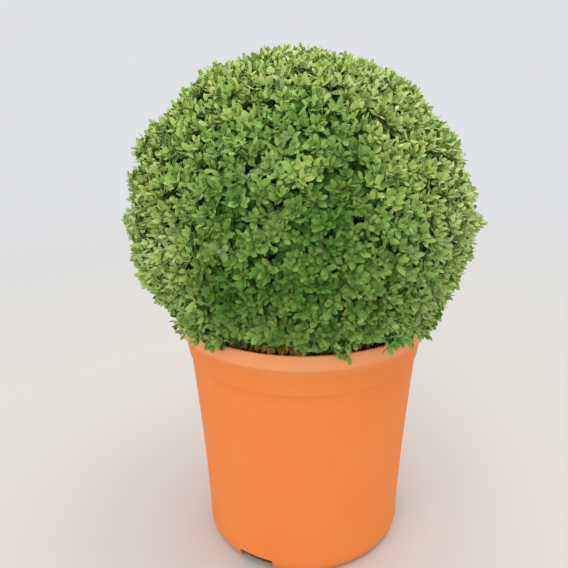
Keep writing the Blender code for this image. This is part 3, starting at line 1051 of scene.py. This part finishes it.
@dataclass(frozen=True)
class LeafShape:
    """One leaf: an egg-shaped blade, domed across, that droops to its tip."""

    length: float = 0.0126
    width: float = 0.0067
    dome: float = 0.16
    droop: float = 0.16
    rows: tuple[Pair, ...] = ((0.22, 0.70), (0.54, 1.0), (0.83, 0.68))

    def pattern(self) -> tuple[ndarray, ndarray]:
        """The leaf along +X, with its face up, 1 long and 1 wide.

        Returns:
            Its points and its triangles.
        """
        points = [(0.0, 0.0, 0.0)]
        for along, share in self.rows:
            middle = -self.droop * along * along
            edge = -self.dome * share * share + middle
            points += [(along, share / 2.0, edge), (along, 0.0, middle), (along, -share / 2.0, edge)]
        points.append((1.0, 0.0, -self.droop - self.dome / 2.0))
        faces = [(0, 2, 1), (0, 3, 2)]
        tip = len(points) - 1
        for left in range(1, tip - 3, 3):
            for near in (left, left + 1):
                faces += [(near, near + 1, near + 4), (near, near + 4, near + 3)]
        faces += [(tip - 3, tip - 2, tip), (tip - 2, tip - 1, tip)]
        return np.array(points), np.array(faces)

    def place(self, roots: ndarray, along: ndarray, up: ndarray, scale: ndarray) -> ndarray:
        """Put leaves in their places.

        Args:
            roots: Where each leaf's foot is.
            along: The direction that each points in.
            up: The direction that its face looks in.
            scale: Its size.

        Returns:
            The points of each leaf, as leaves by points by 3.
        """
        pattern, _ = self.pattern()
        across = unit(np.cross(up, along))
        face = np.cross(along, across)
        x, y, z = (pattern * (self.length, self.width, self.width)).T[:, None, :, None]
        shape = x * along[:, None] + y * across[:, None] + z * face[:, None]
        return roots[:, None] + shape * scale[:, None, None]


@dataclass(frozen=True)
class LeafHabit:
    """How leaves sit on one kind of twig.

    The leaves open from the first tilt at the twig's tip to the second further down.
    """

    leaves: int
    upward: float
    tilts: Pair
    shape: LeafShape
    hanging: bool = False


@dataclass
class LeafSet:
    """Leaves as arrays: their points, the number of each leaf's twig and its place from the tip."""

    points: ndarray
    twig: ndarray
    place: ndarray

    def pick(self, kept: ndarray) -> "LeafSet":
        """The leaves for which kept is True."""
        return LeafSet(self.points[kept], self.twig[kept], self.place[kept])


@dataclass(frozen=True)
class Overhang:
    """Shoots that lie on the pot's rim or lean out over it, along a stretch of it."""

    azimuth: float
    spread: float
    count: int
    radii: Pair
    heights: Pair
    keeps_gaps: bool = False


@dataclass(frozen=True)
class Tuft:
    """A place where the clipped outline, seen from the front, stands proud or falls short.

    The depth tells how far it runs over the ball from the front to the back, in degrees.
    """

    angle: float
    width: float
    lift: float
    depth: float


@dataclass(frozen=True)
class TintPatch:
    """A patch of sprays that are lighter or darker than those round it, as seen from the front.

    Right and up are shares of the ball's radius, as is the width.
    """

    right: float
    up: float
    level: float
    width: float = 0.12


@dataclass(frozen=True)
class RimGap:
    """A stretch of the rim where the foliage stands higher and shows the dark inside."""

    azimuth: float
    half_width: float
    height: float


@dataclass
class Crown:
    """The clipped ball: twigs that grow on from the limbs in ever finer orders, and their leaves."""

    space: CrownSpace
    limbs: LimbSet
    seed: int = 8
    rim_seed: int = 3
    jitter: float = 0.10
    jitter_count: int = 176
    clearance: float = 0.004
    bend_share: float = 0.38
    twig_stops: tuple[float, ...] = (0.25, 0.5, 0.75, 1.0)
    orders: tuple[TwigOrder, ...] = (
        TwigOrder(14, (0.38, 0.42), (0.0044, 0.0034), 8, 7),
        TwigOrder(46, (0.61, 0.66), (0.0032, 0.0023), 7, 6),
        TwigOrder(420, (0.74, 0.82), (0.0019, 0.0012), 5, 5),
        TwigOrder(2400, (0.87, 0.93), (0.0012, 0.0008), 3, 4),
    )
    shoot: TwigOrder = TwigOrder(5400, (0.935, 0.983), (0.0008, 0.0005), 3, 4)
    shoot_habit: LeafHabit = LeafHabit(11, 0.50, (24.0, 68.0), LeafShape())
    rim_habit: LeafHabit = LeafHabit(9, 0.0, (24.0, 68.0), LeafShape(), hanging=True)
    twig_habit: LeafHabit = LeafHabit(
        12, 0.1, (56.0, 80.0), LeafShape(0.0140, 0.0080, rows=((0.30, 0.86), (0.74, 0.82)))
    )

    # How the leaves stand on a twig, whose axis is drawn upwards and outwards.
    heading_pull: float = 0.45
    astray: float = 0.36
    skew: Point = (0.31, 0.17, 0.93)
    leaf_spacing: float = 0.0020
    first_space: float = 0.3
    space_jitter: Pair = (0.85, 1.15)
    turn_jitter: float = 0.25
    tilt_jitter: float = 9.0
    opening_leaves: float = 5.0
    growing_leaves: int = 4
    smallest_leaf: float = 0.58
    leaf_jitter: float = 0.20
    foot_margin: float = 1.02
    skin_colour: str = "6B8A3C"
    fewest_leaves: int = 3
    tip_leaves: int = 2
    light_leaves: int = 5
    most_leaves: int = 15000

    # The shoots at the rim, and how far they arch.
    overhangs: tuple[Overhang, ...] = (
        Overhang(15.5, 3.5, 6, (0.1525, 0.1545), (0.296, 0.302)),
        Overhang(-33.0, 4.0, 6, (0.1520, 0.1535), (0.299, 0.303)),
        Overhang(0.0, 60.0, 60, (0.1390, 0.1450), (0.3035, 0.3070), keeps_gaps=True),
        Overhang(-97.0, 36.0, 52, (0.1450, 0.1550), (0.2900, 0.3050)),
        Overhang(66.0, 8.0, 10, (0.1510, 0.1560), (0.2880, 0.3000)),
        Overhang(96.0, 38.0, 40, (0.1490, 0.1600), (0.2940, 0.3060)),
        Overhang(180.0, 50.0, 60, (0.1460, 0.1600), (0.2940, 0.3060)),
        Overhang(-3.0, 33.0, 120, (0.1280, 0.1400), (0.2960, 0.3030)),
    )
    arch_shares: Pair = (0.45, 0.55)
    arch_rise: float = 0.012
    lip_height: float = 0.3015
    lip_radii: Pair = (0.1445, 0.1512)

    # The clipped surface: tufts, gentle bumps and single stray shoots.
    tufts: tuple[Tuft, ...] = (
        Tuft(-32.0, 10.0, -0.026, 24.0), Tuft(-10.0, 4.0, 0.024, 10.0), Tuft(0.0, 3.0, 0.045, 10.0),
        Tuft(10.0, 3.0, 0.024, 10.0), Tuft(27.0, 5.0, 0.025, 10.0), Tuft(40.0, 3.0, -0.020, 24.0),
        Tuft(77.0, 8.0, -0.010, 24.0), Tuft(122.0, 7.0, 0.034, 10.0), Tuft(151.0, 6.5, 0.045, 12.0),
        Tuft(155.0, 2.5, 0.025, 8.0), Tuft(165.0, 3.0, 0.050, 10.0), Tuft(180.0, 3.0, 0.035, 10.0),
        Tuft(206.0, 4.5, -0.028, 26.0), Tuft(215.0, 5.0, -0.080, 32.0),
    )
    front_tilt: float = 14.8
    outline_turn: float = 14.9
    bump: float = 0.010
    bump_size: float = 0.050
    stray_share: float = 0.03
    stray_lift: float = 0.020

    # Painted light and shade: the level of light that sets a spray's tint, lowest in front, where the crown
    # is shaded.
    light_level: float = 0.87
    light_up: float = 0.02
    light_right: float = 0.04
    shade_level: float = 0.61
    shade_power: int = 3
    shady_side: Point = (0.0, -1.0, 0.0)
    cloud_level: float = 0.08
    cloud_size: float = 0.045
    level_jitter: float = 0.07
    painted_sheen_share: float = 0.07
    painted_sheen_level: float = 0.45
    patches: tuple[TintPatch, ...] = (
        TintPatch(-0.36, 0.05, -0.26), TintPatch(0.15, 0.08, -0.28),
        TintPatch(-0.37, -0.36, -0.28, 0.15), TintPatch(-0.02, 0.45, -0.22),
        TintPatch(0.24, 0.34, -0.20, 0.14), TintPatch(-0.66, -0.12, 0.26, 0.14),
        TintPatch(-0.67, -0.29, 0.20, 0.14), TintPatch(-0.19, -0.06, 0.26, 0.14),
        TintPatch(-0.02, 0.26, 0.28, 0.15), TintPatch(0.43, 0.35, 0.16),
        TintPatch(-0.55, 0.50, -0.14, 0.25), TintPatch(0.88, 0.05, 0.14, 0.30),
        TintPatch(-0.88, 0.05, 0.08, 0.30), TintPatch(0.42, 0.08, 0.18, 0.14),
    )

    # The gaps over the rim, along the sight line from the front.
    gaps: tuple[RimGap, ...] = (
        RimGap(-14.5, 14.0, 0.3048),
        RimGap(7.0, 5.0, 0.2990),
        RimGap(22.5, 5.0, 0.3020),
    )
    gap_foot: float = 0.004
    gap_ends: float = 3.0
    gap_depth: float = 0.09
    sight_slope: float = 0.47
    sight_radius: float = 0.140

    def front_axes(self) -> tuple[Vector, Vector]:
        """The directions that are up and near, as seen from the front."""
        tilt = math.radians(self.front_tilt)
        return Vector((0.0, math.sin(tilt), math.cos(tilt))), Vector((0.0, -math.cos(tilt), math.sin(tilt)))

    def directions(self, count: int, dice: Generator) -> ndarray:
        """Directions spread evenly over a sphere by the golden angle, each a little astray.

        Args:
            count: How many.
            dice: The seeded source of chance.

        Returns:
            Unit directions.
        """
        i = np.arange(count)
        height = 1.0 - 2.0 * (i + 0.5) / count
        flat = np.sqrt(1.0 - height * height)
        found = np.stack([flat * np.cos(GOLDEN_ANGLE * i), flat * np.sin(GOLDEN_ANGLE * i), height], 1)
        reach = self.jitter * min(1.0, math.sqrt(self.jitter_count / count))
        return unit(found + dice.uniform(-reach, reach, (count, 3)))

    def lifts(self, ways: ndarray, dice: Generator) -> ndarray:
        """How far the clipped surface stands proud: gentle bumps, tufts and single stray shoots.

        Args:
            ways: Unit directions from the ball's centre.
            dice: The seeded source of chance.

        Returns:
            The lift along each, as a share of the reach.
        """
        places = [Vector(self.space.centre) + Vector(way) * self.space.radius for way in ways]
        lift = np.array([self.bump * noise.noise(place / self.bump_size) for place in places])
        up, near = self.front_axes()
        angle = np.degrees(np.arctan2(ways @ np.array(up), ways[:, 0]))
        depth = np.degrees(np.arcsin(np.clip(ways @ np.array(near), -1.0, 1.0))) - self.outline_turn
        for tuft in self.tufts:
            away = (angle - tuft.angle + 180.0) % 360.0 - 180.0
            lift += tuft.lift * np.exp(-((away / tuft.width) ** 2) - (depth / tuft.depth) ** 2)
        strays = dice.uniform(0.0, 1.0, len(ways)) < self.stray_share
        return lift + np.where(strays, self.stray_lift, 0.0)

    def grow(self, order: TwigOrder, limbs: tuple[ndarray, ndarray], dice: Generator, uneven: bool) -> Growth:
        """Grow one order of twigs, each from the nearest end of the order before it.

        Args:
            order: The order's numbers.
            limbs: Ends of the order before, and the direction that each points in.
            dice: The seeded source of chance.
            uneven: Whether they make the ball's uneven surface.

        Returns:
            The twigs that keep clear of the hollow under the ball.
        """
        way = self.directions(order.count, dice)
        share = dice.uniform(*order.shares, order.count)
        if uneven:
            share += self.lifts(way, dice)
        tips = np.array(self.space.centre) + way * (self.space.crown_reach(way) * share)[:, None]
        ends, headings = limbs
        nearest = np.array([np.argmin(((ends - tip) ** 2).sum(1)) for tip in tips])
        roots = ends[nearest]
        length = np.linalg.norm(tips - roots, axis=1)
        bends = roots + headings[nearest] * (self.bend_share * length)[:, None]
        clear = np.ones(order.count, bool)
        for stop in self.twig_stops:
            clear &= ~self.space.in_hollow(roots + (tips - roots) * stop, self.clearance)
        return Growth(roots, bends, tips).pick(clear)

    def overhanging(self, ends: ndarray, dice: Generator) -> Growth:
        """Grow the shoots that lean over the rim.

        Args:
            ends: Ends of the finest twigs.
            dice: The seeded source of chance.

        Returns:
            The shoots.
        """
        roots, bends, tips = [], [], []
        near_root, near_tip = self.arch_shares
        for overhang in self.overhangs:
            for i in range(overhang.count):
                place = (i + dice.uniform(0.0, 1.0)) / overhang.count
                azimuth = math.radians(overhang.azimuth + overhang.spread * (2.0 * place - 1.0))
                tip = np.array([math.sin(azimuth), -math.cos(azimuth), 0.0]) * dice.uniform(*overhang.radii)
                tip[2] = dice.uniform(*overhang.heights)
                if overhang.keeps_gaps and self.shows_gap(tip[None])[0]:
                    continue
                roots.append(ends[np.argmin(((ends - tip) ** 2).sum(1))])
                bends.append(roots[-1] * near_root + tip * near_tip + np.array([0.0, 0.0, self.arch_rise]))
                tips.append(tip)
        return Growth(np.array(roots), np.array(bends), np.array(tips))

    def clear_of_pot(self, points: ndarray) -> ndarray:
        """Whether points, one a row, keep off the pot's rim and wall."""
        radius, (inside, outside) = np.hypot(points[:, 0], points[:, 1]), self.lip_radii
        return (points[:, 2] > self.lip_height) | (radius < inside) | (radius > outside)

    def shows_gap(self, points: ndarray) -> ndarray:
        """Whether points lie where the foliage stands back from the rim.

        Args:
            points: Points, one a row.

        Returns:
            True or False for each.
        """
        azimuth = np.degrees(np.arctan2(points[:, 0], -points[:, 1]))
        radius = np.hypot(points[:, 0], points[:, 1])
        seen_at = points[:, 2] - self.sight_slope * (radius - self.sight_radius)
        rim = self.space.rim_clear_height - self.gap_foot
        found = np.zeros(len(points), bool)
        for gap in self.gaps:
            fade = 1.0 - np.abs(azimuth - gap.azimuth) / gap.half_width
            height = rim + (gap.height - rim) * np.clip(self.gap_ends * fade, 0.0, 1.0)
            found |= (fade > 0.0) & (seen_at < height) & (radius > self.gap_depth)
        return found

    def leaf_rows(self, growth: Growth, habit: LeafHabit, dice: Generator) -> LeafSet:
        """Set leaves round twigs, from the tip inwards, each turned by the golden angle.

        Args:
            growth: The twigs.
            habit: How the leaves sit on them.
            dice: The seeded source of chance.

        Returns:
            The leaves.
        """
        count = len(growth.tips)
        length = np.linalg.norm(growth.tips - growth.roots, axis=1)
        turn = dice.uniform(0.0, 2.0 * math.pi, count)
        stray = dice.normal(0.0, self.astray, (count, 3))
        low, high = habit.tilts
        found = []
        for i in range(habit.leaves):
            back = self.leaf_spacing * (i + self.first_space) * dice.uniform(*self.space_jitter, count)
            share = np.clip(1.0 - back / length, 0.0, 1.0)
            base = growth.point(share)
            pull = self.heading_pull * growth.heading(share) + unit(base - np.array(self.space.centre))
            axis = unit(pull + stray + np.array([0.0, 0.0, habit.upward]))
            side = unit(np.cross(axis, np.array(self.skew)))
            around = (turn + GOLDEN_ANGLE * i + dice.normal(0.0, self.turn_jitter, count))[:, None]
            aside = np.cos(around) * side + np.sin(around) * np.cross(axis, side)
            opening = low + (high - low) * min(1.0, i / self.opening_leaves)
            tilt = np.radians(opening + dice.normal(0.0, self.tilt_jitter, count))[:, None]
            along = axis * np.cos(tilt) + aside * np.sin(tilt)
            face = axis * np.sin(tilt) - aside * np.cos(tilt)
            young = min(1.0, self.smallest_leaf + (1.0 - self.smallest_leaf) * i / self.growing_leaves)
            scale = young * (1.0 + dice.uniform(-self.leaf_jitter, self.leaf_jitter, count))
            points = habit.shape.place(base, along, face, scale)
            flat = points.reshape(-1, 3)
            outside = np.hypot(flat[:, 0], flat[:, 1]) > self.sight_radius
            good = self.clear_of_pot(flat) & ~(outside & self.shows_gap(flat))
            if not habit.hanging:
                good &= self.space.holds(flat)
            kept = good.reshape(count, -1).all(1) & (back < length * self.foot_margin)
            found.append((points[kept], np.flatnonzero(kept), np.full(kept.sum(), i)))
        return LeafSet(*(np.concatenate(part) for part in zip(*found)))

    def spray_tints(self, growth: Growth, dice: Generator) -> list[Tint]:
        """Deal out the tints, spray by spray, as painted light and shade: lighter where the crown gets more
        sun.

        Args:
            growth: The leafy shoots.
            dice: The seeded source of chance.

        Returns:
            The tint of each shoot's tip.
        """
        tints = []
        up, _ = self.front_axes()
        for tip in growth.tips:
            out = (Vector(tip) - Vector(self.space.centre)).normalized()
            # Painted shade in front and painted light at the top and the right; clouds, jitter and patches
            # vary it.
            shaded = max(0.0, out.dot(self.shady_side)) ** self.shade_power
            level = self.light_level + self.light_up * out.z + self.light_right * out.x
            level += self.cloud_level * noise.noise(Vector(tip) / self.cloud_size)
            level += dice.normal(0.0, self.level_jitter) - self.shade_level * shaded
            for patch in self.patches if out.y < 0.0 else ():
                away = math.hypot(out.x - patch.right, out.dot(up) - patch.up) / patch.width
                level += patch.level * math.exp(-away * away)
            # Painted sheen: a share of the well lit sprays take the grey-green tint.
            painted_glint = dice.uniform(0.0, 1.0) < self.painted_sheen_share and level > self.painted_sheen_level
            tints.append(Tint.PAINTED_SHEEN if painted_glint else next(tint for tint, limit in TIP_TINTS if level < limit))
        return tints

    def build(self) -> None:
        """Grow the ball and build its twigs, shoots and leaves."""
        dice = default_rng(self.seed)
        ends = tuple(np.array(column) for column in zip(*self.limbs.ends()))
        bark = TWIG_BARK.make()
        grown = []
        for number, order in enumerate(self.orders, 1):
            growth = self.grow(order, ends, dice, uneven=number == len(self.orders))
            finish_piece(joined_mesh(f"twigs_{number}", *growth.tubes(order)), "bark", bark)
            grown.append(growth)
            ends = (growth.tips, growth.heading(np.ones(len(growth.tips))))
        shoots = self.grow(self.shoot, ends, dice, uneven=True)
        shoot_leaves = self.build_shoots("shoots", shoots, self.shoot_habit, dice)
        rim_dice = default_rng(self.rim_seed)
        over = self.overhanging(ends[0], rim_dice)
        rim_leaves = self.build_shoots("rim_shoots", over, self.rim_habit, rim_dice)
        self.build_leaves(self.spray_tints(shoots, dice), shoot_leaves, rim_leaves)
        self.build_inner_leaves(grown[-2:], dice)

    def build_shoots(self, name: str, growth: Growth, habit: LeafHabit, dice: Generator) -> LeafSet:
        """Set leaves on the green shoots, and build those shoots that have enough of them.

        Args:
            name: The piece's name.
            growth: The shoots.
            habit: How the leaves sit on them.
            dice: The seeded source of chance.

        Returns:
            The leaves of the shoots that are built.
        """
        leaves = self.leaf_rows(growth, habit, dice)
        leafy = np.bincount(leaves.twig, minlength=len(growth.tips)) >= self.fewest_leaves
        leafy &= np.isin(np.arange(len(leafy)), leaves.twig[leaves.place < self.tip_leaves])
        leafy &= ~self.shows_gap(growth.tips) | habit.hanging
        skin = WaxyLeaf("green_skin_of_" + name, self.skin_colour).make()
        finish_piece(joined_mesh(name, *growth.pick(leafy).tubes(self.shoot)), "foliage", skin)
        return leaves.pick(leafy[leaves.twig])

    def build_leaves(self, tints: list[Tint], shoot_leaves: LeafSet, rim_leaves: LeafSet) -> None:
        """Build the leaves of the green shoots, which stand for the CAD ball.

        Args:
            tints: The tint of each shoot's tip.
            shoot_leaves: The leaves at the ball's surface.
            rim_leaves: The leaves at the rim.
        """
        bins: dict[Tint, list[ndarray]] = {tint: [] for tint in Tint}
        for leaves, at_rim in ((shoot_leaves, False), (rim_leaves, True)):
            dark = self.shows_gap(leaves.points.mean(1))
            for points, twig, place, old in zip(leaves.points, leaves.twig, leaves.place, dark):
                green = RIM_TINTS[twig % len(RIM_TINTS)] if at_rim else tints[twig]
                if not at_rim and place >= self.light_leaves:
                    green = LOWER_TINTS.get(green, green)
                bins[Tint.WITHERED if old else green].append(points)
        pieces = self.join_leaves("leaves", bins, self.shoot_habit.shape)
        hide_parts("foliage_ball")

    def build_inner_leaves(self, twigs: list[Growth], dice: Generator) -> None:
        """Build the older leaves further in, on the two finest orders of twigs."""
        leaves = np.concatenate([self.leaf_rows(growth, self.twig_habit, dice).points for growth in twigs])
        # The inner leaves take the painted lighter tint.
        self.join_leaves("inner_leaves", {Tint.INNER: list(leaves)}, self.twig_habit.shape)

    def join_leaves(self, name: str, bins: dict[Tint, list[ndarray]], shape: LeafShape) -> list[Object]:
        """Join leaves of one shape to pieces of one tint each.

        Args:
            name: The start of each piece's name.
            bins: The points of each leaf, by tint.
            shape: The leaves' shape.

        Returns:
            The pieces.
        """
        _, faces = shape.pattern()
        pieces = []
        for tint, points in ((tint, points) for tint, points in bins.items() if points):
            tint_name = tint.name.lower()
            wax = WaxyLeaf(f"{tint_name}_leaf_wax", tint.value).make()
            for number, first in enumerate(range(0, len(points), self.most_leaves), 1):
                part = np.array(points[first : first + self.most_leaves])
                piece = joined_mesh(f"{name}_{tint_name}_{number}", part, faces)
                pieces.append(finish_piece(piece, "foliage", wax))
        LOG.info("%s: %d leaves", name, sum(len(points) for points in bins.values()))
        return pieces


@dataclass(frozen=True)
class SoftLight:
    """A square soft light: its place, the length of its side, its watts and its colour."""

    name: str
    place: Point
    size: float
    power: float
    colour: str

    def build(self, target: Point) -> None:
        """Add the light.

        Args:
            target: The point that it looks at.
        """
        lamp = bpy.data.lights.new(self.name, "AREA")
        lamp.size = self.size
        lamp.energy = self.power
        lamp.color = linear(self.colour)[:3]
        light = bpy.data.objects.new(self.name, lamp)
        bpy.context.scene.collection.objects.link(light)
        light.location = self.place
        aim = Vector(target) - Vector(self.place)
        light.rotation_euler = aim.to_track_quat("-Z", "Y").to_euler()


@dataclass
class Studio:
    """A plain pale floor, soft light and the camera at the photo's angle."""

    camera_place: Point = (0.0, -0.724, 0.586)
    pitch: float = 20.1
    shift: float = -19.5 / 568.0
    lens: float = 41.2
    nearest: float = 0.01
    floor_radius: float = 30.0
    floor_sides: int = 96
    paper: BackdropPaper = BackdropPaper()
    target: Point = (0.0, 0.0, 0.32)
    lights: tuple[SoftLight, ...] = (
        SoftLight("key", (-0.9, -1.85, 1.9), 2.2, 20.0, "FFF5EA"),
        SoftLight("top", (0.3, 0.2, 2.4), 2.8, 33.0, "FFFDF8"),
        SoftLight("fill", (1.8, -1.0, 1.2), 2.0, 0.8, "FFC890"),
    )

    def build(self) -> None:
        """Build the floor, the sky, the lights and the camera."""
        bpy.ops.object.select_all(action="DESELECT")
        sides, radius = self.floor_sides, self.floor_radius
        bpy.ops.mesh.primitive_circle_add(vertices=sides, radius=radius, fill_type="NGON")
        floor = bpy.context.object
        floor.name = "floor"
        floor.data.materials.append(self.paper.make())
        world = bpy.data.worlds.new("soft_daylight")
        world.use_nodes = True
        sky = world.node_tree.nodes["Background"]
        sky.inputs["Color"].default_value = linear(self.paper.sky_colour)
        sky.inputs["Strength"].default_value = self.paper.sky_strength
        bpy.context.scene.world = world
        bpy.context.scene.view_settings.view_transform = "Standard"
        for light in self.lights:
            light.build(self.target)
        lens = bpy.data.cameras.new("camera")
        lens.lens = self.lens
        lens.shift_x = self.shift
        lens.clip_start = self.nearest
        camera = bpy.data.objects.new("camera", lens)
        bpy.context.scene.collection.objects.link(camera)
        camera.location = self.camera_place
        camera.rotation_euler = (math.radians(90.0 - self.pitch), 0.0, 0.0)
        bpy.context.scene.camera = camera


def main() -> None:
    """Build the pot, the compost, the limbs, the crown and the studio, in that order."""
    logging.basicConfig(level=logging.INFO, format="%(message)s")
    pot = NurseryPot()
    pot.dress(pot.build())
    compost = Compost(pot)
    compost.dress(compost.build(), compost.build_crumbs())
    space = CrownSpace()
    limbs = LimbSet(space)
    limbs.dress()
    Crown(space, limbs).build()
    Studio().build()


if __name__ == "__main__":
    main()
